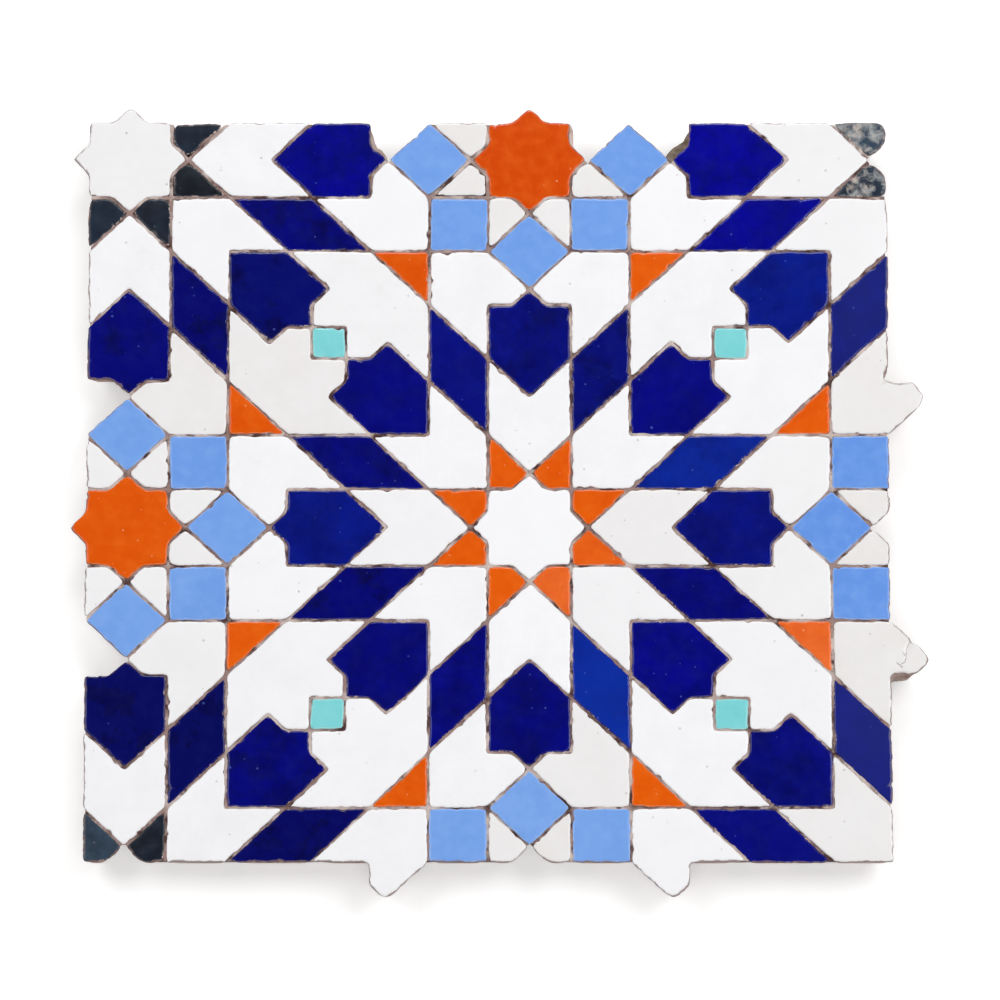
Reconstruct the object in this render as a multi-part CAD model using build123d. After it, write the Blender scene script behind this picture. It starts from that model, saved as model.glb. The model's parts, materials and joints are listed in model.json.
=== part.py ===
"""Interlocking zellige panel: hand-cut glazed tesserae in one mortar bed, lying face up.

The origin is on the back face under the middle star. +X runs to the right of the pattern,
+Y to its top and +Z out of the glazed face. Sizes are in mm.
"""
import os
from math import cos, hypot, radians, sin, sqrt, tan

from build123d import *

gauge = 30.0          # side of a small square cell, with its joint
joint = 1.5           # width of the joints at the face
arris = 0.7           # softened edge of the glazed face
tessera_depth = 12.0  # clay and glaze together
back_cut = 18.0       # degrees that the chiselled sides lean in towards the back
bed_depth = 8.0       # mortar behind the tesserae
joint_recess = 1.2    # mortar stops this far below the glazed face
bed_margin = 4.0      # mortar behind the tesserae stops this far inside the outer ones
joint_margin = 0.5    # mortar in the joints stops this far inside them

half = gauge / sqrt(2)             # half the diagonal of a small square
module = 8 * (gauge + half)        # distance at which the panel repeats, both ways
reach = module / 2
face_level = bed_depth + tessera_depth
joint_level = face_level - joint_recess
lean = tan(radians(back_cut))
back_line = joint / 2 + (tessera_depth - arris) * lean  # from a cell's outline to the back of its tessera
joint_line = joint / 2 + (joint_recess - arris) * lean  # and to its side where the mortar stops

middle = (0, 0)
corners = [(-reach, reach), (reach, reach), (-reach, -reach), (reach, -reach)]
left, top, right, bottom = (-reach, 0), (0, reach), (reach, 0), (0, -reach)

# Outlines of the cells. Each is drawn on its star, which stands at zero.
a, b = gauge, half
star_ring = [(a, 0), (b, a - b)]
kite = [(a, 0), (a + b, b), (b, b), (b, a - b)]
arrow = [(a, 0), (a + b, -b), (a + 3 * b, -b), (a + 2 * b, 0), (a + 3 * b, b), (a + b, b)]
lozenge = [(a + b, b), (a + 3 * b, b), (2 * a + 3 * b, a + b), (2 * a + b, a + b)]
shield = [(a + 2 * b, 0), (a + 3 * b, -b), (2 * a + 3 * b, -b), (2 * a + 3 * b, b - a),
          (3 * a + 2 * b, 0), (2 * a + 3 * b, a - b), (2 * a + 3 * b, b), (a + 3 * b, b)]
square = [(a, 0), (a + b, -b), (a + 2 * b, 0), (a + b, b)]
hook = [(a + b, b), (a + 2 * b, 0), (2 * a + b, a - b), (2 * a + b, b), (3 * a + b, b),
        (2 * a + b, a + b), (a + b, a + b)]
triangle = [(a + b, a + b), (2 * a + b, a + b), (a + b, 2 * a + b)]
small_square = [(a + 3 * b, a + 3 * b), (3 * a + b, a + 3 * b), (3 * a + b, 3 * a + b),
                (a + 3 * b, 3 * a + b)]
zigzag = [(a + b, 2 * a + b), (a + 2 * b, 2 * a + 2 * b), (2 * a + b, a + 3 * b),
          (a + 3 * b, a + 3 * b), (a + 3 * b, 3 * a + b), (3 * a + b, 3 * a + b),
          (3 * a + b, 2 * a + 3 * b), (2 * a + 2 * b, 3 * a + 2 * b),
          (2 * a + 3 * b, 3 * a + 3 * b), (2 * a + b, 3 * a + 3 * b), (a + b, 2 * a + 3 * b)]


def placed(cell, star, angle=0.0, mirrored=False):
    """The cell turned about its star by an angle in degrees, and moved with the star."""
    c, s = cos(radians(angle)), sin(radians(angle))
    points = [(x, -y) for x, y in reversed(cell)] if mirrored else cell
    return [(star[0] + c * x - s * y, star[1] + s * x + c * y) for x, y in points]


def turned(cell, star, count):
    """The cell repeated about its star."""
    return [placed(cell, star, 360 / count * turn) for turn in range(count)]


def mirrored_pairs(cell, star):
    """The cell and its mirror image in each quarter round its star."""
    return [placed(cell, star, 90 * turn, flip) for turn in range(4) for flip in (False, True)]


def star_cell(star):
    return [point for ray in turned(star_ring, star, 8) for point in ray]


def centre(cell):
    x, y = zip(*cell)
    return sum(x) / len(cell), sum(y) / len(cell)


def in_panel(cell):
    """A cell is the panel's own where it lies right of and below the panel's edge lines."""
    x, y = centre(cell)
    return -reach - half < x < reach - half and -reach + half < y < reach + half


def inset(cell, distance):
    """The outline drawn in by a distance, with its corners kept sharp."""
    moved = []
    for before, here, after in zip(cell[-1:] + cell[:-1], cell, cell[1:] + cell[:1]):
        back = (here[0] - before[0], here[1] - before[1])
        ahead = (after[0] - here[0], after[1] - here[1])
        n1 = (-back[1] / hypot(*back), back[0] / hypot(*back))
        n2 = (-ahead[1] / hypot(*ahead), ahead[0] / hypot(*ahead))
        scale = distance / (1 + n1[0] * n2[0] + n1[1] * n2[1])
        moved.append((here[0] + scale * (n1[0] + n2[0]), here[1] + scale * (n1[1] + n2[1])))
    return moved


def chiselled(outline, section):
    """A solid with flat sides, through the outline drawn in by a distance at each height."""
    rings = [[(x, y, z) for x, y in inset(outline, distance)] for distance, z in section]
    faces = [Face(Wire.make_polygon(rings[0][::-1])), Face(Wire.make_polygon(rings[-1]))]
    for lower, upper in zip(rings, rings[1:]):
        for i in range(len(lower)):
            faces.append(Face(Wire.make_polygon([lower[i - 1], lower[i], upper[i], upper[i - 1]])))
    return Solid(Shell(faces))


def tessera(cell):
    """One hand-cut piece: a softened glazed face over sides chiselled back to a smaller back."""
    return chiselled(cell, [(back_line, bed_depth), (joint / 2, face_level - arris), (joint / 2 + arris, face_level)])


def prism(outline, height):
    return extrude(make_face(Polyline(*outline, close=True)), height)


def edge_line():
    """The locking line of one edge from its star corner on, as (along, out) from its middle star."""
    bump = [(a - b, b), (0, a), (b - a, b)]
    notch = [(2 * a + b, b), (2 * a + b, a - b), (a + 2 * b, 0), (a + b, b)]
    return ([(reach + b, b)] + [(reach + x, y) for x, y in bump] + notch + bump
            + [(-x, y) for x, y in reversed(notch)])


def panel_outline():
    """Left and top edges carry the stars. The right and bottom edges are the same lines, moved on."""
    down_left = [(-reach - out, along) for along, out in edge_line()]
    along_top = [(-along, reach + out) for along, out in edge_line()]
    along_bottom = [(x, y - module) for x, y in along_top]
    up_right = [(x + module, y) for x, y in reversed(down_left)]
    end = (reach - half, half - reach)
    start = (reach - half, reach + half)
    return down_left + along_bottom + [end] + up_right[:-1] + [start] + along_top[:0:-1]


corner_cells = {
    "arrows": [cell for star in corners for cell in turned(arrow, star, 8)],
    "kites": [cell for star in corners for cell in turned(kite, star, 8)],
    "lozenges": [cell for star in corners for cell in turned(lozenge, star, 8)],
    "shields": [cell for star in corners for cell in turned(shield, star, 8)],
}
missing_kite = placed(kite, top)

nodes = {
    "middle_star": [star_cell(middle)],
    "middle_kites": turned(kite, middle, 8),
    "middle_arrows": turned(arrow, middle, 8),
    "middle_lozenges": turned(lozenge, middle, 8),
    "middle_shields": turned(shield, middle, 8),
    "zigzags": mirrored_pairs(zigzag, middle),
    "turquoise_squares": turned(small_square, middle, 4),
    "corner_star": [star_cell(corners[0])],
}
nodes.update({"corner_" + name: cells for name, cells in corner_cells.items()})
for side, star in {"left": left, "top": top, "right": right, "bottom": bottom}.items():
    if side in ("left", "top"):
        nodes[side + "_star"] = [star_cell(star)]
    nodes[side + "_kites"] = turned(kite, star, 8)
    nodes[side + "_squares"] = turned(square, star, 8)
    nodes[side + "_hooks"] = mirrored_pairs(hook, star)
    nodes[side + "_triangles"] = turned(triangle, star, 4)
nodes["top_kites"].remove(missing_kite)

tesserae = {}
for name, cells in nodes.items():
    tesserae[name] = [tessera(cell) for cell in cells if in_panel(cell)]

outline = panel_outline()
gap_back, gap_top = -back_line - joint_margin, -joint_line - joint_margin
bed = prism(inset(outline, back_line + bed_margin), bed_depth)
bed += chiselled(outline, [(back_line + joint_margin, bed_depth), (joint_line + joint_margin, joint_level)])
bed -= prism(inset(missing_kite, gap_back), bed_depth)
bed -= chiselled(missing_kite, [(gap_back, bed_depth), (gap_top, joint_level)])
bed -= [solid for solids in tesserae.values() for solid in solids]

os.makedirs("parts", exist_ok=True)
export_step(bed, "parts/mortar_bed.step")
for name, solids in tesserae.items():
    export_step(Compound(solids), f"parts/{name}.step")
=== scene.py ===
import json
import math

import bmesh
import bpy
import numpy as np
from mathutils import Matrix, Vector, noise
from mathutils.geometry import delaunay_2d_cdt


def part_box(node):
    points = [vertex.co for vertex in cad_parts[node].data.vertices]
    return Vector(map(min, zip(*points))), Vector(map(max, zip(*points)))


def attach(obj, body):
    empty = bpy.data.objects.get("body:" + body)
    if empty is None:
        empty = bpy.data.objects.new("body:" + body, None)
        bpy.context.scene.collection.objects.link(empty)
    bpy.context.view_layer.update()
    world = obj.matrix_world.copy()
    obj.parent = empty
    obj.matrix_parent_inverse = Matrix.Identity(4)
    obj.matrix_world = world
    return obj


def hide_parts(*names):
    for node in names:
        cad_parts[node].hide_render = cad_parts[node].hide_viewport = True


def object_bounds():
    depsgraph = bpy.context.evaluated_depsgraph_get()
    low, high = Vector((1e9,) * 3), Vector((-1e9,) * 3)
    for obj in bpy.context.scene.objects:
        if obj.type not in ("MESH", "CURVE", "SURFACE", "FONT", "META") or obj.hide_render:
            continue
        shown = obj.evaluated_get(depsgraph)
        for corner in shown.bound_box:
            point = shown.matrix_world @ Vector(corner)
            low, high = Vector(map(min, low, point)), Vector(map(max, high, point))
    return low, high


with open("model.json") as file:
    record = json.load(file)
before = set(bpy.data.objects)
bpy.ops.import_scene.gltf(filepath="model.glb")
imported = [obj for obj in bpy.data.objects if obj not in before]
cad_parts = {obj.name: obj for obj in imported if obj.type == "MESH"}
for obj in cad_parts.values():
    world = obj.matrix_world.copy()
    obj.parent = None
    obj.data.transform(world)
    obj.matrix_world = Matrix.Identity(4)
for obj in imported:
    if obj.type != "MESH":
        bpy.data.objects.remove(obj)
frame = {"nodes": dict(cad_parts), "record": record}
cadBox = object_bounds()
scene = bpy.context.scene
scene.view_settings.view_transform = "Standard"
rng = np.random.default_rng(1203)
mm = 0.001
flush = 0.01 * mm  # points within this height of each other lie on one level
print("frame loaded,", len(frame["nodes"]), "nodes")


def paint(red, green, blue):  # a colour as seen, 0 to 255, in Blender's linear values
    seen = [value / 255 for value in (red, green, blue)]
    return [s / 12.92 if s < 0.04045 else ((s + 0.055) / 1.055) ** 2.4 for s in seen] + [1.0]


# Small helpers for node trees. A value that is a socket gets linked, any other is set.
def feed(tree, made, values):
    for name, value in values.items():
        if isinstance(value, bpy.types.NodeSocket):
            tree.links.new(value, made.inputs[name])
        else:
            made.inputs[name].default_value = value


def addNode(tree, kind, values=None, **settings):
    made = tree.nodes.new("ShaderNode" + kind)
    for name, value in settings.items():
        setattr(made, name, value)
    feed(tree, made, values or {})
    return made


def sums(tree, operation, first, second):
    return addNode(tree, "Math", {0: first, 1: second}, operation=operation).outputs[0]


def times(tree, first, second):
    return sums(tree, "MULTIPLY", first, second)


def ramp(tree, value, low, high, atLow=0.0, atHigh=1.0):
    values = {"Value": value, "From Min": low, "From Max": high, "To Min": atLow, "To Max": atHigh}
    return addNode(tree, "MapRange", values).outputs["Result"]


def mixed(tree, share, first, second):
    return addNode(tree, "Mix", {0: share, 6: first, 7: second}, data_type="RGBA").outputs[2]


def cloud(tree, place, scale, detail=2.0, seed=None, swirl=0.0, grain=0.5):
    values = {"Vector": place, "Scale": scale, "Detail": detail, "Distortion": swirl, "Roughness": grain}
    if seed is not None:
        values["W"] = seed
    made = addNode(tree, "TexNoise", values, noise_dimensions="3D" if seed is None else "4D")
    return made.outputs["Fac"]


def newGroup(name, inputs, outputs):
    tree = bpy.data.node_groups.new(name, "ShaderNodeTree")
    kinds = {"colour": "NodeSocketColor", "value": "NodeSocketFloat"}
    for label, kind in inputs.items():
        tree.interface.new_socket(label, in_out="INPUT", socket_type=kinds[kind])
    for label, kind in outputs.items():
        tree.interface.new_socket(label, in_out="OUTPUT", socket_type=kinds[kind])
    source, sink = tree.nodes.new("NodeGroupInput"), tree.nodes.new("NodeGroupOutput")
    place = tree.nodes.new("ShaderNodeTexCoord").outputs["Object"]
    return tree, source.outputs, sink.inputs, place


def useGroup(tree, group, values):
    made = tree.nodes.new("ShaderNodeGroup")
    made.node_tree = group
    feed(tree, made, values)
    return made.outputs


# Cloudy glaze: it thickens to a deeper colour, thins to a pale veil, and each batch has a tone of its own,
# from 1, the other firing, down to -1, the vivid one.
clouding = {
    "broad": 60.0, "fine": 380.0, "drift": 35.0, "milk": 150.0,  # scales: larger is finer
    "broadShare": 0.7, "fineShare": 0.3,
    "pool": (0.8, 5.0, 0.6),        # mm from the edge over which pooled glaze fades out, and its share at the edge
    "thickCoat": (0.85, 1.45, 0.8),  # mottling from which a coat is deep all over, to where, and the share there
}
colours = {"Base": "colour", "Deep": "colour", "Other": "colour", "Vivid": "colour", "Veil": "colour"}
amounts = {"Mottle": "value", "Veiling": "value", "Haze": "value", "Tone": "value", "Seed": "value", "Edge": "value"}
glazeBody, given, made, place = newGroup("glazeBody", {**colours, **amounts}, {"Colour": "colour"})
broad = ramp(glazeBody, cloud(glazeBody, place, clouding["broad"], 3.0, given["Seed"]), 0.38, 0.68)
fine = ramp(glazeBody, cloud(glazeBody, place, clouding["fine"], 2.0, given["Seed"]), 0.35, 0.7)
broadPart, finePart = times(glazeBody, broad, clouding["broadShare"]), times(glazeBody, fine, clouding["fineShare"])
clouds = sums(glazeBody, "ADD", broadPart, finePart)
later = sums(glazeBody, "ADD", given["Seed"], 7.0)  # a seed for clouds of their own
drift = ramp(glazeBody, cloud(glazeBody, place, clouding["drift"], 2.0, later), 0.3, 0.6, 0.75, 1.0)
body = mixed(glazeBody, ramp(glazeBody, given["Tone"], 0.0, -1.0), given["Base"], given["Vivid"])
otherShare = times(glazeBody, ramp(glazeBody, given["Tone"], 0.0, 1.0), drift)
body = mixed(glazeBody, otherShare, body, given["Other"])
poolFrom, poolTo, poolShare = clouding["pool"]
pooled = times(glazeBody, ramp(glazeBody, given["Edge"], poolFrom, poolTo, poolShare, 0.0), broad)
thick = sums(glazeBody, "MAXIMUM", clouds, pooled)
coatFrom, coatTo, coatShare = clouding["thickCoat"]
allOver = ramp(glazeBody, given["Mottle"], coatFrom, coatTo, 0.0, coatShare)
deepShare = sums(glazeBody, "MAXIMUM", times(glazeBody, thick, given["Mottle"]), allOver)
body = mixed(glazeBody, deepShare, body, given["Deep"])
milky = ramp(glazeBody, cloud(glazeBody, place, clouding["milk"], 5.0, later), 0.42, 0.85)
milky = times(glazeBody, milky, given["Veiling"])
milky = sums(glazeBody, "MAXIMUM", milky, times(glazeBody, drift, given["Haze"]))
body = mixed(glazeBody, milky, body, given["Veil"])
glazeBody.links.new(body, made["Colour"])

# Pinholes and burst bubbles: few, soft, of many sizes and in loose clusters.
pinholes = {
    "cells": 145.0, "clusters": 38.0,  # scales
    "soft": 0.035,                     # softness of their edges
    "least": 0.25,                     # size and strength of the smallest and faintest, against the largest
    "inClusters": (0.1, 2.0),          # share of them outside and inside a cluster
}
flecks, given, made, place = newGroup("glazeFlecks", {"Share": "value", "Size": "value"}, {"Mask": "value"})
cells = addNode(flecks, "TexVoronoi", {"Vector": place, "Scale": pinholes["cells"]}, voronoi_dimensions="2D")
dice = addNode(flecks, "SeparateColor", {"Color": cells.outputs["Color"]})
size = times(flecks, given["Size"], ramp(flecks, dice.outputs["Green"], 0.0, 1.0, pinholes["least"], 1.0))
within = sums(flecks, "SUBTRACT", size, cells.outputs["Distance"])
spot = ramp(flecks, within, -pinholes["soft"], pinholes["soft"])
clusters = ramp(flecks, cloud(flecks, place, pinholes["clusters"], 2.0), 0.4, 0.62, *pinholes["inClusters"])
picked = sums(flecks, "LESS_THAN", dice.outputs["Red"], times(flecks, given["Share"], clusters))
faint = ramp(flecks, dice.outputs["Blue"], 0.0, 1.0, pinholes["least"], 1.0)
flecks.links.new(times(flecks, times(flecks, spot, picked), faint), made["Mask"])

# Chiselled rim: bare biscuit where the glaze has flaked, a paler colour over the rest of the arris that is thin
# glaze together with painted highlight, grime outermost.
flaking = {
    "nibbles": 620.0, "stretches": 110.0, "thinningAndHighlight": 260.0, "seams": 190.0,  # scales
    "thinAndHighlightReach": (0.4, 1.4),  # mm from the edge that the thin glaze and its painted highlight reach
    "seam": (0.04, 0.3),      # mm from the edge that grime reaches in a joint
    "openSeam": 4.6,          # times as far on an edge that faces no neighbour
}
rimOut = {"Bare": "value", "ThinAndHighlight": "value", "Grime": "value"}
rim, given, made, place = newGroup("chiselledRim", {"Edge": "value", "Ragged": "value", "Open": "value"}, rimOut)
nibbles = ramp(rim, cloud(rim, place, flaking["nibbles"], 3.0), 0.42, 0.72)
stretches = ramp(rim, cloud(rim, place, flaking["stretches"], 2.0), 0.42, 0.62)
limit = times(rim, times(rim, nibbles, stretches), given["Ragged"])
rim.links.new(ramp(rim, sums(rim, "SUBTRACT", limit, given["Edge"]), -0.06, 0.10), made["Bare"])
reach = ramp(rim, cloud(rim, place, flaking["thinningAndHighlight"], 2.0), 0.3, 0.7, *flaking["thinAndHighlightReach"])
rim.links.new(ramp(rim, sums(rim, "DIVIDE", given["Edge"], reach), 0.0, 1.0, 1.0, 0.0), made["ThinAndHighlight"])
seam = ramp(rim, cloud(rim, place, flaking["seams"], 4.0), 0.35, 0.65, *flaking["seam"])
seam = times(rim, seam, ramp(rim, given["Open"], 0.0, 1.0, 1.0, flaking["openSeam"]))
rim.links.new(ramp(rim, sums(rim, "DIVIDE", given["Edge"], seam), 0.3, 1.0, 1.0, 0.0), made["Grime"])

# Uneven fired surface: slow ripples, finer orange peel.
rippling = {"slow": 95.0, "peel": 700.0, "peelShare": 0.12}  # scales, and the height of the peel against the ripples
ripple, given, made, place = newGroup("glazeRipple", {"Seed": "value"}, {"Height": "value"})
slow = cloud(ripple, place, rippling["slow"], 2.0, given["Seed"])
peel = times(ripple, cloud(ripple, place, rippling["peel"], 2.0), rippling["peelShare"])
ripple.links.new(sums(ripple, "ADD", slow, peel), made["Height"])

# Sandy grit for mortar and bare biscuit.
sanding = {"grains": 900.0, "shade": 300.0, "grainShare": 0.35}  # scales, and the height of grains against lumps
grit, given, made, place = newGroup("sandyGrit", {"Coarse": "value"}, {"Shade": "value", "Height": "value"})
grains = addNode(grit, "TexVoronoi", {"Vector": place, "Scale": sanding["grains"]})
lumps = cloud(grit, place, given["Coarse"], 4.0)
grit.links.new(ramp(grit, cloud(grit, place, sanding["shade"], 4.0), 0.3, 0.7), made["Shade"])
grainHeight = times(grit, grains.outputs["Distance"], sanding["grainShare"])
grit.links.new(sums(grit, "ADD", lumps, grainHeight), made["Height"])
print("shared finishes ready")


def newMaterial(name):
    material = bpy.data.materials.new(name)
    material.use_nodes = True
    tree = material.node_tree
    tree.nodes.clear()
    shader = addNode(tree, "BsdfPrincipled")
    addNode(tree, "OutputMaterial", {"Surface": shader.outputs[0]})
    return material, tree, shader


biscuitLook = {"main": paint(207, 184, 175), "patch": paint(222, 206, 198), "stain": paint(169, 141, 131),
               "coarse": 420.0, "depth": 0.0006}  # scale of the lumps, and metres that they stand out
# The mortar's dark stain patches stand partly for real stain and partly for painted shade of joints that sink
# deeper.
mortarLook = {"main": paint(157, 132, 126), "patch": paint(209, 193, 187), "stain": paint(77, 53, 51),
              "coarse": 260.0, "depth": 0.0008}
wornLook = {"slip": paint(172, 174, 172), "clay": paint(206, 190, 178)}  # what shows where a glaze is rubbed through
grimeLook = paint(130, 106, 101)  # old mortar along the outermost arris and in cracks
clayStainAndShade = paint(88, 77, 60)       # clay stained in chips, and on the lips stain together with painted shade
# Each glaze's thin colour, along the arris, is thinned glaze together with a painted highlight.
glazes = {
    "white_glaze": {
        "base": paint(244, 244, 247), "deep": paint(235, 234, 235), "other": paint(229, 225, 222),
        "vivid": paint(250, 250, 253), "veil": paint(250, 249, 248), "fleck": paint(180, 169, 160),
        "thinAndHighlight": paint(242, 240, 240), "mottle": 0.5, "veiling": 0.2, "flecks": 0.045, "fleckSize": 0.1,
        "ragged": 0.6, "gloss": 0.2},
    "cobalt_glaze": {
        "base": paint(2, 4, 122), "deep": paint(1, 2, 72), "other": paint(10, 50, 166),
        "vivid": paint(0, 0, 164), "veil": paint(38, 48, 128), "fleck": paint(72, 92, 182),
        "thinAndHighlight": paint(40, 34, 104), "mottle": 0.75, "veiling": 0.14, "flecks": 0.1, "fleckSize": 0.09,
        "ragged": 0.7, "gloss": 0.16},
    "sky_glaze": {
        "base": paint(117, 162, 232), "deep": paint(103, 149, 223), "other": paint(136, 176, 237),
        "vivid": paint(98, 146, 226), "veil": paint(144, 182, 239), "fleck": paint(78, 110, 178),
        "thinAndHighlight": paint(176, 202, 242), "mottle": 0.55, "veiling": 0.4, "flecks": 0.06, "fleckSize": 0.05,
        "ragged": 0.55, "gloss": 0.2},
    "turquoise_glaze": {
        "base": paint(128, 212, 215), "deep": paint(110, 199, 202), "other": paint(148, 222, 224),
        "vivid": paint(108, 207, 210), "veil": paint(154, 225, 227), "fleck": paint(70, 152, 152),
        "thinAndHighlight": paint(186, 231, 231), "mottle": 0.5, "veiling": 0.35, "flecks": 0.06, "fleckSize": 0.05,
        "ragged": 0.55, "gloss": 0.2},
    "orange_glaze": {
        "base": paint(229, 92, 0), "deep": paint(212, 72, 0), "other": paint(238, 114, 54),
        "vivid": paint(208, 70, 0), "veil": paint(238, 118, 32), "fleck": paint(246, 176, 122),
        "thinAndHighlight": paint(236, 138, 74), "mottle": 0.62, "veiling": 0.45, "flecks": 0.2, "fleckSize": 0.07,
        "ragged": 0.65, "gloss": 0.2},
    "black_glaze": {
        "base": paint(20, 33, 52), "deep": paint(8, 11, 18), "other": paint(58, 77, 96),
        "vivid": paint(8, 14, 26), "veil": paint(66, 80, 96), "fleck": paint(150, 150, 146),
        "thinAndHighlight": paint(80, 84, 88), "mottle": 0.7, "veiling": 0.28, "flecks": 0.22, "fleckSize": 0.07,
        "ragged": 1.1, "gloss": 0.28},
}
glazeFinish = {
    "thinAndHighlight": 0.65, "fleck": 0.8, "rubbed": 0.85, "grime": 0.85,  # share of each colour where it shows
    "bareRough": 0.85,                       # roughness where the glaze is gone
    "bareSunk": 0.35, "fleckSunk": 0.2,      # how far bare places and flecks lie below the glaze
    "crackBreaks": 420.0,                    # scale at which the grime in a crack comes and goes
    "bump": 0.35, "bumpDepth": 0.0004,
    "specular": 0.42,
}
rubbing = {
    "smears": 240.0, "patches": 110.0, "under": 90.0,  # scales
    "smearShare": 0.65, "patchShare": 0.45,
    "spared": 0.6,                                     # how far a face without wear is kept from it
}
faceValues = ("edge", "open", "tone", "thick", "haze", "wear", "seed", "crack")  # what each point of a face carries


def glazeMaterial(name, look):
    material, tree, shader = newMaterial(name)
    cut = {key: addNode(tree, "Attribute", attribute_name=key).outputs["Fac"] for key in faceValues}
    body = useGroup(tree, glazeBody, {
        "Base": look["base"], "Deep": look["deep"], "Other": look["other"], "Vivid": look["vivid"],
        "Veil": look["veil"], "Mottle": times(tree, cut["thick"], look["mottle"]), "Veiling": look["veiling"],
        "Haze": cut["haze"], "Tone": cut["tone"], "Seed": cut["seed"], "Edge": cut["edge"]})
    spots = useGroup(tree, flecks, {"Share": look["flecks"], "Size": look["fleckSize"]})
    worn = useGroup(tree, rim, {"Edge": cut["edge"], "Ragged": look["ragged"], "Open": cut["open"]})
    relief = useGroup(tree, ripple, {"Seed": cut["seed"]})
    place = addNode(tree, "TexCoord").outputs["Object"]
    spared = ramp(tree, cut["wear"], 0.0, 1.0, rubbing["spared"], 0.0)
    smears = times(tree, cloud(tree, place, rubbing["smears"], 8.0, swirl=0.5, grain=0.68), rubbing["smearShare"])
    patches = times(tree, cloud(tree, place, rubbing["patches"], 2.0), rubbing["patchShare"])
    rubbed = ramp(tree, sums(tree, "SUBTRACT", sums(tree, "ADD", smears, patches), spared), 0.46, 0.62)
    clayShare = ramp(tree, cloud(tree, place, rubbing["under"], 3.0, swirl=1.0), 0.48, 0.62)
    under = mixed(tree, clayShare, wornLook["slip"], wornLook["clay"])
    # paler rim: thin glaze together with painted highlight
    colour = mixed(tree, times(tree, worn["ThinAndHighlight"], glazeFinish["thinAndHighlight"]), body["Colour"], look["thinAndHighlight"])
    colour = mixed(tree, times(tree, spots["Mask"], glazeFinish["fleck"]), colour, look["fleck"])
    colour = mixed(tree, times(tree, rubbed, glazeFinish["rubbed"]), colour, under)
    colour = mixed(tree, worn["Bare"], colour, biscuitLook["main"])
    colour = mixed(tree, times(tree, worn["Grime"], glazeFinish["grime"]), colour, grimeLook)
    breaks = cloud(tree, place, glazeFinish["crackBreaks"], 3.0)
    crack = times(tree, cut["crack"], ramp(tree, breaks, 0.35, 0.6, 0.45, 1.0))
    colour = mixed(tree, crack, colour, grimeLook)
    bare = sums(tree, "MAXIMUM", sums(tree, "MAXIMUM", worn["Bare"], worn["Grime"]), rubbed)
    rough = ramp(tree, bare, 0.0, 1.0, look["gloss"], glazeFinish["bareRough"])
    bareSunk = times(tree, bare, glazeFinish["bareSunk"])
    fleckSunk = times(tree, spots["Mask"], glazeFinish["fleckSunk"])
    height = sums(tree, "SUBTRACT", relief["Height"], sums(tree, "ADD", bareSunk, fleckSunk))
    bump = {"Strength": glazeFinish["bump"], "Distance": glazeFinish["bumpDepth"], "Height": height}
    feed(tree, shader, {"Base Color": colour, "Roughness": rough, "Normal": addNode(tree, "Bump", bump).outputs[0],
                        "Specular IOR Level": glazeFinish["specular"]})
    return material


earthFinish = {
    "patches": 75.0, "stainsAndShade": 130.0,        # scales
    "shade": 0.25,                           # share of the stain in the grain
    "bump": 0.7, "rough": 0.92, "specular": 0.2,
}


def earthMaterial(name, look, lipped=False):
    material, tree, shader = newMaterial(name)
    sand = useGroup(tree, grit, {"Coarse": look["coarse"]})
    place = addNode(tree, "TexCoord").outputs["Object"]
    patches = ramp(tree, cloud(tree, place, earthFinish["patches"], 4.0), 0.46, 0.6)
    # darker patches: real stain on the clay, and on the mortar partly painted shade of deeper joints
    stainsAndShade = ramp(tree, cloud(tree, place, earthFinish["stainsAndShade"], 4.0), 0.51, 0.66)
    colour = mixed(tree, patches, look["main"], look["patch"])
    colour = mixed(tree, stainsAndShade, colour, look["stain"])
    colour = mixed(tree, times(tree, sand["Shade"], earthFinish["shade"]), colour, look["stain"])
    # darker clay on lips and in chips: stain, and on the shaded notch walls painted shade as well
    if lipped:
        stainAndShade = addNode(tree, "Attribute", attribute_name="lip").outputs["Fac"]
        stainAndShade = times(tree, stainAndShade, ramp(tree, sand["Shade"], 0.0, 1.0, 0.7, 1.0))
        colour = mixed(tree, stainAndShade, colour, clayStainAndShade)
    bump = {"Strength": earthFinish["bump"], "Distance": look["depth"], "Height": sand["Height"]}
    feed(tree, shader, {"Base Color": colour, "Normal": addNode(tree, "Bump", bump).outputs[0],
                        "Roughness": earthFinish["rough"], "Specular IOR Level": earthFinish["specular"]})
    return material


materials = {slot: glazeMaterial(slot, look) for slot, look in glazes.items()}
biscuit = earthMaterial("biscuit", biscuitLook, lipped=True)
mortar = earthMaterial("mortar", mortarLook)
print("materials ready")


# The cut lines come from the CAD nodes: the rim of each flat face, and the rim of its back.
def flatLoops(mesh, height, facingUp):
    spots = [(round(v.co.x / mm, 4), round(v.co.y / mm, 4)) for v in mesh.vertices]
    level = [abs(v.co.z - height) < flush for v in mesh.vertices]
    sides = set()
    for face in mesh.polygons:
        if all(level[i] for i in face.vertices):
            corners = [spots[i] for i in face.vertices]
            sides.update(zip(corners, corners[1:] + corners[:1]))
    onward = dict(sorted(side for side in sides if side[::-1] not in sides))
    loops = []
    while onward:
        start = min(onward)
        loop, here = [start], onward.pop(start)
        while here != start:
            loop.append(here)
            here = onward.pop(here)
        loops.append(np.array(loop if facingUp else loop[:1] + loop[:0:-1]))
    return loops


def leftOf(ahead):  # unit normals to the left of some directions
    ahead = ahead / np.linalg.norm(ahead, axis=1)[:, None]
    return np.stack([-ahead[:, 1], ahead[:, 0]], 1)


def inwardOf(loop):  # unit normals at the points, into the piece
    return leftOf(np.roll(loop, -1, 0) - np.roll(loop, 1, 0))


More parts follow.
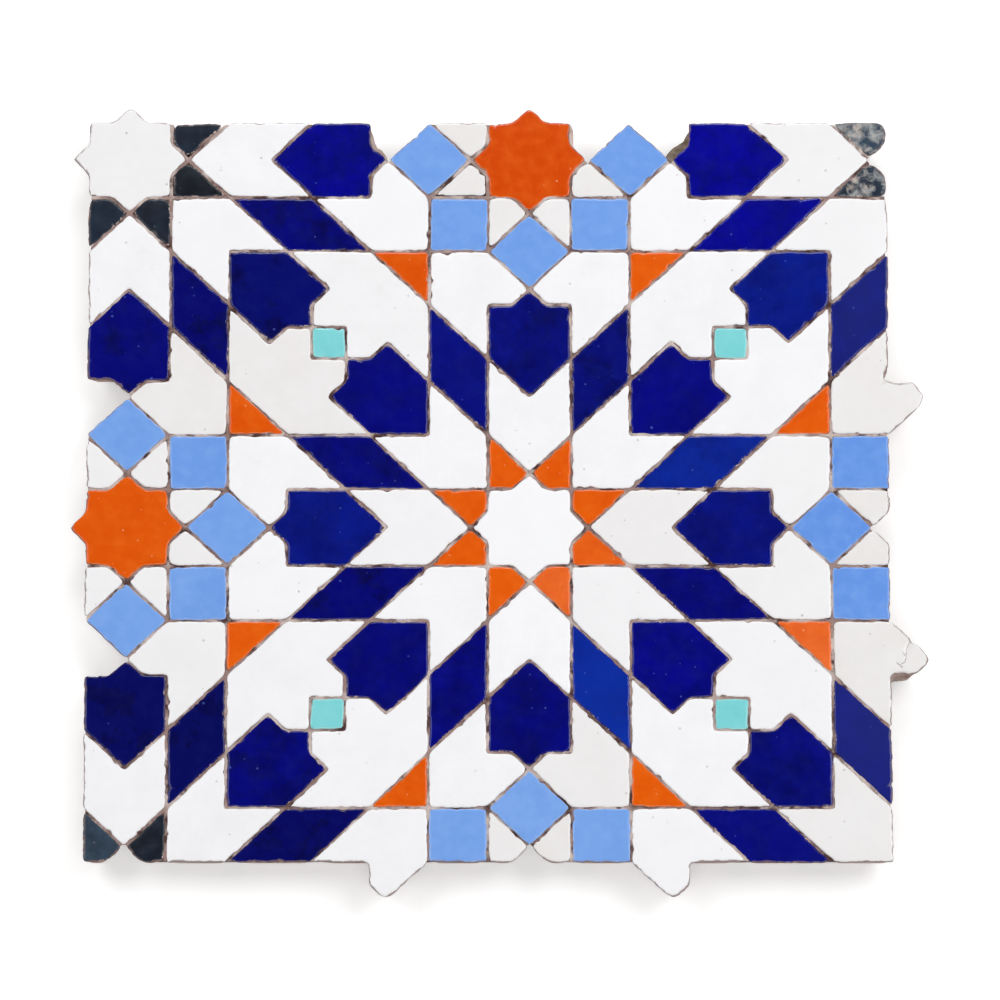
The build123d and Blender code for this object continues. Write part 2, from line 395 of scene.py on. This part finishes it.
def mitred(loop, distance):  # the outline moved inwards with its corners kept sharp
    normal = leftOf(np.roll(loop, -1, 0) - loop)
    before = np.roll(normal, 1, 0)
    return loop + (normal + before) * (distance / (1 + (normal * before).sum(1)))[:, None]


def tesseraeOf(node):
    mesh = frame["nodes"][node].data
    heights = sorted({round(v.co.z, 6) for v in mesh.vertices})
    levels = {"face": heights[-1] / mm, "arris": (heights[-1] - heights[-2]) / mm, "back": heights[0] / mm}
    backs = flatLoops(mesh, heights[0], False)
    pairs = []
    for loop in flatLoops(mesh, heights[-1], True):
        back = min(backs, key=lambda other: np.linalg.norm(other.mean(0) - loop.mean(0)))
        turns = [np.roll(back, turn, 0) for turn in range(len(back))]
        pairs.append((mitred(loop, -levels["arris"]), min(turns, key=lambda turn: np.abs(turn - loop).sum())))
    return pairs, levels


cutting = {
    "spacing": 0.95,           # mm between points along an edge
    "leastSteps": 4,
    "rounding": {"star": 9, "top_star": 13, "left_star": 12, "kites": 15, "middle_kites": 8, "corner_kites": 26,
                 "hooks": 10, "lozenges": 7, "shields": 7},  # smoothing passes at the corners
    "plainRounding": 5,
    "blunt": (0.55, 1.0),      # share of that rounding which a corner takes
    "outset": 0.4,             # mm that the outline stands out from its template
    "waver": 0.14,             # mm that a chiselled edge wanders
    "waverLength": 6.0,        # mm of edge to its shortest wave
    "nibble": 0.06,            # mm of fine raggedness
    "bite": (1.8, 5.5),        # mm of edge that one blow of the chisel takes
    "biteDepth": (0.02, 0.3),
    "chipEvery": 60.0,         # mm of edge to a chip
    "chipDepth": (0.25, 0.9),
    "chipWidth": (0.8, 2.6),
    "calm": 2.6,               # mm from a corner within which blows and chips get shallower
    "calmLeast": 0.15,         # share of their depth that is left at the corner
    "outMost": 0.52,           # mm: an edge never stands further out into its joint
    "turn": 0.3,               # degrees that a piece sits askew
    "shift": 0.11,             # mm that a piece sits off its place
    "wornPasses": 36,          # smoothing passes at hook tips that stand free, and on pieces that are rubbed
    "rubbedShare": 0.5,        # share of them that a rubbed piece takes
    "tipReach": 12.0,          # mm along the edge that a free tip is worn
    "tipFade": 1.2,            # times its reach at which the wear ends
    "tipNear": 2.0,            # mm from the panel's right and bottom limits at which a tip stands free
    "wornNear": 3.0,           # mm from a noted worn tip, and from the middle of a piece noted as small
    "smallNear": 9.0,
}
# Chips in the glaze that the photograph shows: place in mm, depth, half width and how brown they are.
# Blunted tips are given in the same way, without the brown.
notedChips = {
    "right_hooks": [(188.0, 81.0, 0.7, 6.5, 0.9), (182.0, 87.5, 0.6, 2.6, 0.9), (188.0, -82.5, 1.0, 4.5, 0.5),
                    (193.1, -62.7, 1.0, 1.8, 0.9), (183.0, -119.0, 0.9, 1.6, 0.4)],
    "corner_lozenges": [(182.0, -141.0, 0.9, 1.8, 0.4)],
    "corner_shields": [(-102.0, -177.0, 0.8, 1.5, 0.4)],
    "corner_kites": [(-164.4, 215.2, 1.1, 7.0, 0.0), (-181.5, 191.5, 0.7, 5.0, 0.1)],
}
bluntTips = {
    "right_hooks": [(183.5, 84.0, 2.0, 2.8), (201.0, 73.5, 1.0, 6.0)],
    "corner_lozenges": [(152.5, 183.0, 1.6, 4.0)],
    "corner_shields": [(133.5, 204.9, 1.7, 3.6)],
    "middle_shields": [(-73.0, 0.0, 1.4, 3.2), (0.0, 73.0, 0.8, 2.4), (50.0, -52.0, 0.8, 2.6)],
}
# Pieces cut smaller than their place: middle in mm, and mm all round.
cutSmall = {
    "corner_kites": [(-167.0, 218.0, 0.45)], "top_kites": [(-27.0, 194.0, 0.7)],
    "right_kites": [(183.0, 9.0, 0.5)], "right_squares": [(183.0, 42.0, 0.5)],
}
# Tips worn round: place in mm and reach along the edge.
wornTips = {
    "corner_kites": [(-155.5, 223.5, 6.0), (-173.5, 207.5, 6.0), (-181.5, 223.5, 6.0), (-173.5, 203.0, 5.0)],
}


def smoothed(loop, passes):
    for _ in range(passes):
        loop = (np.roll(loop, 1, 0) + 2 * loop + np.roll(loop, -1, 0)) / 4
    return loop


def hump(points, x, y, wide):  # 1 at a place, down to 0 at a distance from it
    return np.clip(1 - (np.linalg.norm(points - (x, y), axis=1) / wide) ** 2, 0, None)


def awayAlong(run, place, length):  # the shorter way round a closed edge
    away = np.abs(run - place)
    return np.minimum(away, length - away)


def edgePoints(corners, back):  # points along the cut line and its back, the corner each is near, where sides start
    points, backs, owner = [], [], []
    count = len(corners)
    for i in range(count):
        start, end = corners[i], corners[(i + 1) % count]
        steps = max(cutting["leastSteps"], round(np.linalg.norm(end - start) / cutting["spacing"]))
        along = np.arange(steps)[:, None] / steps
        points.append(start + (end - start) * along)
        backs.append(back[i] + (back[(i + 1) % count] - back[i]) * along)
        owner.append(np.where(along[:, 0] < 0.5, i, (i + 1) % count))
    first = np.cumsum([0] + [len(side) for side in points[:-1]])
    return [np.concatenate(part) for part in (points, backs, owner)] + [first]


def wornShare(node, points, run, length, rubbed):  # how far each point is worn round, 0 to 1
    toLimit = np.minimum(cadBox[1].x / mm - points[:, 0], points[:, 1] - cadBox[0].y / mm)
    tips = [(toLimit.argmin(), cutting["tipReach"])] if toLimit.min() < cutting["tipNear"] else []
    for x, y, far in wornTips.get(node, []):
        away = np.linalg.norm(points - (x, y), axis=1)
        tips += [(away.argmin(), far)] if away.min() < cutting["wornNear"] else []
    worn = np.full(len(points), rubbed * cutting["rubbedShare"])
    for tip, far in tips:
        worn = np.maximum(worn, np.clip(cutting["tipFade"] - awayAlong(run, run[tip], length) / far, 0, 1))
    return worn[:, None]


def chiselMarks(run, length, calm):  # mm that each point moves in, and mm of chips in the glaze there
    moved = rng.normal(0, cutting["nibble"], len(run))
    moved = (np.roll(moved, 1) + 2 * moved + np.roll(moved, -1)) / 4 - cutting["outset"]
    for wave in range(2, int(length / cutting["waverLength"])):
        swing = rng.normal(0, cutting["waver"] / wave ** 0.5)
        moved += swing * np.sin(math.tau * (wave * run / length + rng.uniform()))
    bites = np.cumsum(rng.uniform(*cutting["bite"], int(length / cutting["bite"][0]) + 2))
    which = np.searchsorted(bites, run)
    width = np.diff(bites, prepend=0)[which]
    across = 2 * (bites[which] - run) / width - 1
    moved += rng.uniform(*cutting["biteDepth"], len(bites))[which] * (1 - across ** 2) * calm
    chips = np.zeros(len(run))
    for _ in range(rng.poisson(length / cutting["chipEvery"])):
        away = awayAlong(run, rng.uniform(0, length), length) / rng.uniform(*cutting["chipWidth"])
        chips += rng.uniform(*cutting["chipDepth"]) * np.clip(1 - away ** 2, 0, None) * calm
    return moved, chips


def handCut(node, corners, back, rubbed):  # the glaze's edge, the edge without its chips, and the edge of the back
    points, backs, owner, first = edgePoints(corners, back)
    passes = cutting["rounding"].get(node, cutting["rounding"].get(node.split("_")[-1], cutting["plainRounding"]))
    steps = np.linalg.norm(np.roll(points, -1, 0) - points, axis=1)
    length, run = steps.sum(), np.cumsum(steps) - steps
    toCorner = awayAlong(run[:, None], run[first], length).min(1)
    inward = inwardOf(smoothed(points, passes))
    bluntness = rng.uniform(*cutting["blunt"], len(corners))[owner][:, None]
    worn = wornShare(node, points, run, length, rubbed)
    lines = []
    for line in (points, backs):
        soft = line + (smoothed(line, passes) - line) * bluntness
        lines.append(soft + (smoothed(line, cutting["wornPasses"]) - soft) * worn)
    points, backs = lines
    moved, chips = chiselMarks(run, length, np.clip(toCorner / cutting["calm"], cutting["calmLeast"], 1))
    middle = corners.mean(0)
    for x, y, short in cutSmall.get(node, []):
        moved += short if math.dist(middle, (x, y)) < cutting["smallNear"] else 0.0
    for table, depths in ((notedChips, chips), (bluntTips, moved)):
        for x, y, deep, wide, *_ in table.get(node, []):
            depths += deep * hump(points, x, y, wide)
    points = points + inward * np.maximum(moved, -cutting["outMost"])[:, None]
    turn = math.radians(rng.normal(0, cutting["turn"]))
    turned = np.array([[math.cos(turn), math.sin(turn)], [-math.sin(turn), math.cos(turn)]])
    points = (points - middle) @ turned + middle + rng.normal(0, cutting["shift"], 2)
    return points + inward * chips[:, None], points, backs


def awayFrom(spots, start, run):  # distance from each spot to the nearest of some straight sides
    gap = spots[:, None] - start
    share = np.clip((gap * run).sum(2) / (run * run).sum(1), 0, 1)
    return np.linalg.norm(gap - share[:, :, None] * run, axis=2).min(1)


def depthInside(spots, outline):  # distance from each spot to the outline, below zero outside it
    onward = np.roll(outline, -1, 0)
    run = onward - outline
    away = awayFrom(spots, outline, run)
    astride = (outline[:, 1] > spots[:, 1:]) != (onward[:, 1] > spots[:, 1:])
    rise = np.where(run[:, 1] == 0, 1e-9, run[:, 1])  # a level side is never astride
    crossing = outline[:, 0] + (spots[:, 1:] - outline[:, 1]) / rise * run[:, 0]
    inside = (astride & (spots[:, :1] < crossing)).sum(1) % 2 == 1
    return np.where(inside, away, -away)


glazing = {
    "rings": (0.3, 0.75, 1.6),  # mm from the edge at which the rolled arris gets points
    "ringKeep": 0.93,           # share of that distance that a point has to keep from the whole edge
    "grid": 3.4,                # mm between points inside
    "gridKeep": 0.4,            # share of that which they keep from the innermost ring
    "merge": 1e-5,              # mm within which points are one
    "roll": 0.9,                # mm over which the arris rolls off
    "pillow": 0.14,             # mm that the face falls towards its edges
    "pillowReach": 2.6,
    "swell": 0.16,              # mm of slow waves over the face
    "swellLength": 17.0,        # mm between them
    "tilt": 0.22,               # degrees that a face lies out of level
    "rows": (0.12, 0.45, 1.0),  # rows of points down the chiselled side
    "lipRows": (0.85, 1.0, 0.3),  # share of a lip's width that stands out at each row
    "rough": 0.22,              # mm of chisel marks there
}
# Lips of clay left standing below the glaze, in the top notches and under one hook: place in mm, width, reach along
# the edge and stain, which on the shaded notch walls is stain together with painted shade.
lips = {
    "corner_shields": [(77.5, 207.0, 5.5, 15.0, 1.0), (-80.0, 211.0, 2.6, 12.0, 0.5)],
    "top_star": [(23.0, 219.0, 2.2, 9.0, 0.0)],
    "right_hooks": [(187.0, -82.0, 0.9, 9.0, 0.6)],
}
scars = {
    "stain": 0.45,    # stain on the clay in a chip
    "width": 1.5,     # mm of glaze that is brown along a noted chip
    "strength": 1.8,  # brown at its edge, where 1 is full
    "fade": 1.3,      # times the chip's half width at which its brown ends
    "rimNear": 0.3,   # nearness at which the clay takes the chip's brown for its stain
    "lipStainAndShade": 1.5,  # mm that a lip stands out where its stain and painted shade are full
}
# Cracks that the photograph shows, as points in mm on the face.
cracks = {
    "right_hooks": [[(192.6, -63.4), (191.2, -66.5), (190.9, -70.5), (190.2, -74.0), (187.5, -76.0)],
                    [(189.9, -70.0), (191.6, -72.3)], [(186.6, -75.0), (188.6, -77.0)]],
}
cracking = {
    "step": 0.9,     # mm between points along a crack
    "half": 0.35,    # mm from its middle to its banks
    "deep": 0.3,
    "inside": 0.9,   # mm that it keeps from the edge
    "clear": 1.0,    # mm beside it without other points
}


def crackSpots(node, outline):  # points down the middle of each crack and along its two banks
    middle, banks = [np.empty((0, 2))], [np.empty((0, 2))]
    for line in cracks.get(node, []):
        for start, end in zip(np.array(line), np.array(line)[1:]):
            length = np.linalg.norm(end - start)
            count = max(2, round(length / cracking["step"]))
            spots = start + (end - start) * np.arange(count)[:, None] / count
            across = np.array([start[1] - end[1], end[0] - start[0]]) / length * cracking["half"]
            middle.append(spots)
            banks += [spots + across, spots - across]
    both = np.concatenate(middle), np.concatenate(banks)
    return [spots[depthInside(spots, outline) > cracking["inside"]] for spots in both]


def glazedFace(node, outline):  # spots, triangles, which given spots each one is, and whether it lies in a crack
    normal = inwardOf(outline)
    inner = []
    for step, depth in enumerate(glazing["rings"]):
        ring = (outline + normal * depth)[::step // 2 + 1]
        inner.append(ring[depthInside(ring, outline) > glazing["ringKeep"] * depth])
    low, high = outline.min(0), outline.max(0)
    rows = np.arange(low[1], high[1], glazing["grid"] * 0.866)  # rows of a grid of equal triangles
    columns = np.arange(low[0], high[0], glazing["grid"])
    grid = np.array([(x + glazing["grid"] * 0.5 * (row % 2), y) for row, y in enumerate(rows) for x in columns])
    inner.append(grid[depthInside(grid, outline) > glazing["rings"][-1] + glazing["gridKeep"] * glazing["grid"]])
    crack, banks = crackSpots(node, outline)
    if len(crack):
        inner = [ring[np.linalg.norm(ring[:, None] - crack, axis=2).min(1) > cracking["clear"]] for ring in inner]
    spots = np.concatenate([outline] + inner + [banks, crack])
    border = [list(range(len(outline)))]
    found, _, triangles, origin, *_ = delaunay_2d_cdt([Vector(s) for s in spots], [], border, 1, glazing["merge"])
    inCrack = np.array([max(sources, default=0) >= len(spots) - len(crack) for sources in origin])
    return np.array([tuple(spot) for spot in found]), triangles, origin, inCrack


def faceHeights(spots, depth, middle, levels, seed):
    lean = np.tan(np.radians(rng.normal(0, glazing["tilt"], 2)))
    rolled = np.clip(1 - depth / glazing["roll"], 0, 1)
    height = levels["face"] - levels["arris"] * (1 - np.sqrt(1 - rolled ** 2))
    height -= glazing["pillow"] * np.exp(-depth / glazing["pillowReach"])
    height += (spots - middle) @ lean
    wave = glazing["swellLength"]
    return height + [glazing["swell"] * noise.noise((x / wave, y / wave, seed)) for x, y in spots]


def scarsOf(node, outline, wholeLine, spots, depth, rimIndex):  # brown of the spots, the rim's stain with painted shade on lips, and its lip
    scarred = np.clip(np.linalg.norm(outline - wholeLine, axis=1), 0, 1)
    browned, stain, lip = np.zeros(len(spots)), scars["stain"] * scarred, np.zeros(len(outline))
    for x, y, _, wide, brown in notedChips.get(node, []):
        near = np.clip(scars["fade"] - np.linalg.norm(spots - (x, y), axis=1) / wide, 0, 1)
        band = np.clip(scars["strength"] * (1 - depth / scars["width"]), 0, 1)
        browned = np.maximum(browned, brown * near * band)
        stain = np.where(near[rimIndex] > scars["rimNear"], brown * scarred, stain)
    # a lip's dark value is stain together with painted shade, strongest on the notch wall that lies in shadow
    for x, y, wide, far, stainAndShade in lips.get(node, []):
        stands = wide * hump(outline, x, y, far)
        lip += stands
        stain = np.maximum(stain, stainAndShade * np.clip(stands / scars["lipStainAndShade"], 0, 1))
    return browned, stain, lip[:, None]


def sideLines(outline, wholeLine, backLine, lip):  # rows of points down the chiselled side
    inward, lines = inwardOf(outline), []
    for share, stand in zip(glazing["rows"], glazing["lipRows"]):
        line = wholeLine + (backLine - wholeLine) * share
        if share < 1:
            line = line + inward * rng.uniform(0, glazing["rough"], (len(outline), 1))
        lipped = outline + (line - outline) * np.clip(1 - lip, 0, 1) - inward * lip * stand
        lines.append(np.where(lip > 0, lipped, line))
    return lines


def bearing(spot):
    return math.degrees(math.atan2(spot[1], spot[0]))


# Tones of single pieces as the photograph shows them, by their bearing from the middle star in degrees.
notedTones = {
    "middle_lozenges": {22: 0.95, -67: 1.0, -113: -0.1},
    "corner_lozenges": {55: -0.6},
    "corner_shields": {45: 0.2, 65: -0.6, 115: -0.4},
    "middle_shields": {45: -0.2, 90: 0.0},
    "corner_star": {135: 0.55},
    "corner_kites": {129: 0.0, 132: -0.9, 138: -0.5, 141: -0.1, -141: 1.0, -138: 0.0, 51: 0.8, 48: 0.5},
    "top_star": {90: -0.8},
    "middle_kites": {-68: 0.8},
    "right_triangles": {-23: 1.0},
    "zigzags": {143: 0.75},
    "left_hooks": {157: 0.9, -169: -0.5},
    "right_hooks": {23: 0.95, -23: 0.8, 11: 0.3},
    "bottom_hooks": {-79: 0.8, -113: 0.3},
    "corner_arrows": {-45: 0.5, 45: 0.4, 56: 0.4},
    "middle_arrows": {0: 0.7, -45: 0.3, -135: -0.5, -90: -0.5},
}
# Tones that pieces of one node share otherwise.
batchTone = {"left_kites": 0.4, "top_kites": 0.95, "right_kites": 1.0, "bottom_kites": 0.8, "right_squares": -1.0,
             "bottom_squares": 0.3, "top_squares": -0.25, "top_triangles": -0.3, "right_hooks": 0.4}
# Pieces with the glaze laid on thickly or thinly, with a milky haze, and rubbed through, again by their bearing.
thickPieces = {
    "corner_shields": {-155: 1.85, 135: 1.75, -135: 1.45, 155: 1.2},
    "corner_lozenges": {-145: 1.95, -125: 1.45, 145: 1.85, 125: 1.6},
    "middle_lozenges": {-113: 1.4, -158: 1.3, 158: 1.3, 68: 1.3, 22: 0.6, -68: 0.6},
    "middle_shields": {90: 1.4, -135: 0.7, 135: 0.8, 45: 0.8},
}
hazyPieces = {"corner_lozenges": {35: 0.5, -35: 0.6}}
rubbedPieces = {"corner_kites": {51: 0.95, 48: 0.9}}
batches = {
    "toneSpread": 0.13,   # how far the tone and thickness of like pieces differ
    "thickSpread": 0.2,
    "thick": 0.95,        # usual thickness of the coat, and the least
    "thinnest": 0.3,
    "bearingNear": 4.0,   # degrees within which a noted bearing counts
}


def notedAt(table, spot, default):
    off = {abs((bearing(spot) - angle + 180) % 360 - 180): value for angle, value in table.items()}
    return off[min(off)] if off and min(off) < batches["bearingNear"] else default


slots = {row["node"]: row["material_slot"] for row in frame["record"]["subparts"]}
cuts = {node: tesseraeOf(node) for node in sorted(set(frame["nodes"]) - {"mortar_bed"})}
allCorners = [corners for pairs, _ in cuts.values() for corners, _ in pairs]
sideStart = np.concatenate(allCorners)
sideRun = np.concatenate([np.roll(corners, -1, 0) - corners for corners in allCorners])
jointReach = 2.2  # mm within which an edge has a neighbour


def openEdge(outline, corners):  # 1 where an edge faces no neighbour, 0 along a joint
    other = ~np.any(np.all(np.isclose(sideStart[:, None], corners), axis=2), axis=1)
    return np.clip(awayFrom(outline, sideStart[other], sideRun[other]) - jointReach, 0, 1)


for node, (pairs, levels) in cuts.items():
    points, faces, glazed = [], [], []
    values = {key: [] for key in faceValues + ("lip",)}
    for corners, back in pairs:
        first, middle = len(points), corners.mean(0)
        rubbed = notedAt(rubbedPieces.get(node, {}), middle, 0.0)
        outline, wholeLine, backLine = handCut(node, corners, back, rubbed)
        spots, triangles, origin, inCrack = glazedFace(node, outline)
        rimCount = len(outline)
        place = {source: index for index, sources in enumerate(origin) for source in sources}
        rimIndex = [place[i] for i in range(rimCount)]
        depth = np.maximum(depthInside(spots, outline), 0)
        depth[rimIndex] = 0
        seed = rng.uniform(0, 100)
        height = faceHeights(spots, depth, middle, levels, seed) - cracking["deep"] * inCrack
        points += [(x * mm, y * mm, z * mm) for (x, y), z in zip(spots, height)]
        faces += [[first + i for i in triangle] for triangle in triangles]
        glazed += [True] * len(triangles)
        browned, stain, lip = scarsOf(node, outline, wholeLine, spots, depth, rimIndex)
        above, rimHeight = [first + i for i in rimIndex], height[rimIndex]
        for share, line in zip(glazing["rows"], sideLines(outline, wholeLine, backLine, lip)):
            down = rimHeight + (levels["back"] - rimHeight) * share
            below = list(range(len(points), len(points) + rimCount))
            points += [(x * mm, y * mm, z * mm) for (x, y), z in zip(line, down)]
            faces += [[above[i - 1], below[i - 1], below[i], above[i]] for i in range(rimCount)]
            glazed += [False] * rimCount
            above = below
        faces.append(above[::-1])
        glazed.append(False)
        tone = notedAt(notedTones.get(node, {}), middle, batchTone.get(node, 0.0))
        tone += rng.normal(0, batches["toneSpread"])
        thick = notedAt(thickPieces.get(node, {}), middle, batches["thick"]) + rng.normal(0, batches["thickSpread"])
        haze = notedAt(hazyPieces.get(node, {}), middle, 0.0)
        nearest = np.linalg.norm(spots[:, None] - outline, axis=2).argmin(1)
        byPiece = {"tone": float(np.clip(tone, -1, 1)), "thick": max(thick, batches["thinnest"]), "haze": haze,
                   "wear": rubbed, "seed": seed}
        bySpot = {"edge": depth, "open": openEdge(outline, corners)[nearest], "crack": np.maximum(browned, inCrack)}
        added = len(points) - first
        for key, number in byPiece.items():
            values[key] += [number] * added
        for key, numbers in bySpot.items():
            values[key] += list(numbers) + [0.0] * (added - len(spots))
        # stain on the rim's clay, with painted shade on the lips
        rimStainAndShade = np.zeros(len(spots))
        rimStainAndShade[rimIndex] = stain
        values["lip"] += list(rimStainAndShade) + list(stain) * len(glazing["rows"])
    mesh = bpy.data.meshes.new(node + "_cut")
    mesh.from_pydata(points, [], faces)
    mesh.materials.append(materials[slots[node]])
    mesh.materials.append(biscuit)
    mesh.polygons.foreach_set("material_index", [0 if top else 1 for top in glazed])
    mesh.polygons.foreach_set("use_smooth", glazed)
    for key, numbers in values.items():
        mesh.attributes.new(key, "FLOAT", "POINT").data.foreach_set("value", numbers)
    mesh.update()
    piece = bpy.data.objects.new(node + "_cut", mesh)
    scene.collection.objects.link(piece)
    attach(piece, "root")
    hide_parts(node)


bedding = {
    "jointStep": 2.2,     # mm between points along the joints
    "bodyStep": 9.0,      # mm between points elsewhere
    "halvings": 7,        # times that edges longer than that are halved
    "weld": 0.001,        # mm within which points are one
    "lift": 0.55,         # mm that the pointing stands above the CAD joint, and how far it rises and sinks along it
    "rise": 0.4,
    "sink": 1.0,
    "ragged": 0.5,        # mm of raggedness on the outer edge
    "backRough": 0.5,     # mm of hollows in the back
    "walls": (-0.9, 0.01),           # lean of the faces that are walls or ends of joints
    "edgeLumps": (6.0, 2.2, 0.5),    # mm across the larger and smaller lumps, and share of the smaller
    "jointLumps": (13.0, 4.0, 0.6),
    "backLumps": (25.0, 7.0, 0.4),
}


def lumpy(spot, large, small, share):
    return noise.noise(spot / large) + share * noise.noise(spot / small)


bedNode = frame["nodes"]["mortar_bed"]
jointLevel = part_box("mortar_bed")[1].z - flush
work = bmesh.new()
work.from_mesh(bedNode.data)
bmesh.ops.remove_doubles(work, verts=work.verts, dist=bedding["weld"] * mm)
for _ in range(bedding["halvings"]):
    tooLong = []
    for edge in work.edges:
        inJoint = all(v.co.z > jointLevel for v in edge.verts)
        if edge.calc_length() > (bedding["jointStep"] if inJoint else bedding["bodyStep"]) * mm:
            tooLong.append(edge)
    bmesh.ops.subdivide_edges(work, edges=tooLong, cuts=1)
    bmesh.ops.triangulate(work, faces=[face for face in work.faces if len(face.verts) > 3])
work.normal_update()
leanLow, leanHigh = bedding["walls"]
outer = {v for face in work.faces if leanLow < face.normal.z < leanHigh for v in face.verts}
for v in work.verts:
    spot = v.co / mm
    if v in outer:
        push = lumpy(spot, *bedding["edgeLumps"])
        v.co += Vector((v.normal.x, v.normal.y, 0)) * bedding["ragged"] * push * mm
    if v.co.z > jointLevel:
        level = lumpy(spot, *bedding["jointLumps"])
        v.co.z += (bedding["lift"] + (bedding["rise"] if level > 0 else bedding["sink"]) * level) * mm
    elif v.co.z < flush and v not in outer:
        v.co.z += max(0.0, lumpy(spot, *bedding["backLumps"])) * bedding["backRough"] * mm
bedMesh = bpy.data.meshes.new("mortar_bed_set")
work.to_mesh(bedMesh)
work.free()
bedMesh.materials.clear()
bedMesh.materials.append(mortar)
bed = bpy.data.objects.new("mortar_bed_set", bedMesh)
scene.collection.objects.link(bed)
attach(bed, "root")
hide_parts("mortar_bed")
print("mortar bed set:", len(bedMesh.polygons), "faces")


studio = {
    "floor": paint(226, 226, 226), "floorSize": 30.0, "floorRough": 0.9, "floorSpecular": 0.1,
    "floorLift": 0.42,  # light that the floor adds where a ray sees it, so that it looks white
    "world": 0.05,
    "softboxes": {"right": (75, 45, 21.0, 1.4), "left": (-75, 45, 15.5, 1.4), "front": (180, 45, 14.0, 1.4),
                  "back": (0, 36, 9.6, 0.7)},  # bearing and height in degrees, watts, metres across
    "softboxAway": 1.9,
}
floorMesh = bpy.data.meshes.new("floor")
half = studio["floorSize"] / 2
floorMesh.from_pydata([(-half, -half, 0), (half, -half, 0), (half, half, 0), (-half, half, 0)], [], [(0, 1, 2, 3)])
floorMaterial, tree, shader = newMaterial("floor")
path = addNode(tree, "LightPath").outputs
seenBy = sums(tree, "MAXIMUM", path["Is Glossy Ray"], path["Is Transmission Ray"])
seenBy = sums(tree, "MAXIMUM", path["Is Camera Ray"], seenBy)
feed(tree, shader, {"Base Color": studio["floor"], "Roughness": studio["floorRough"],
                    "Specular IOR Level": studio["floorSpecular"], "Emission Color": (1, 1, 1, 1),
                    "Emission Strength": times(tree, seenBy, studio["floorLift"])})
floorMesh.materials.append(floorMaterial)
floor = bpy.data.objects.new("floor", floorMesh)
scene.collection.objects.link(floor)

world = bpy.data.worlds.new("studio")
world.use_nodes = True
world.node_tree.nodes["Background"].inputs["Color"].default_value = (1, 1, 1, 1)
world.node_tree.nodes["Background"].inputs["Strength"].default_value = studio["world"]
scene.world = world
centre = (cadBox[0] + cadBox[1]) / 2
for name, (around, up, watts, across) in studio["softboxes"].items():
    lamp = bpy.data.lights.new("softbox_" + name, "AREA")
    lamp.shape, lamp.size, lamp.energy = "SQUARE", across, watts
    holder = bpy.data.objects.new("softbox_" + name, lamp)
    a, e = math.radians(around), math.radians(up)
    away = Vector((math.sin(a) * math.cos(e), math.cos(a) * math.cos(e), math.sin(e)))
    holder.location = centre + away * studio["softboxAway"]
    holder.rotation_euler = away.to_track_quat("Z", "Y").to_euler()
    scene.collection.objects.link(holder)

shot = {"lens": 600.0, "elevation": 67.0, "fill": 0.86}  # the panel's square looks 0.92 as high as wide
camera = bpy.data.objects.new("camera", bpy.data.cameras.new("camera"))
camera.data.lens = shot["lens"]
width = cadBox[1].x - cadBox[0].x
distance = width / shot["fill"] / 2 * shot["lens"] / (camera.data.sensor_width / 2)
e = math.radians(shot["elevation"])
away = Vector((0, -math.cos(e), math.sin(e)))
camera.location = Vector((centre.x, centre.y, cadBox[1].z)) + away * distance
camera.rotation_euler = away.to_track_quat("Z", "Y").to_euler()
scene.collection.objects.link(camera)
scene.camera = camera
print("studio ready")
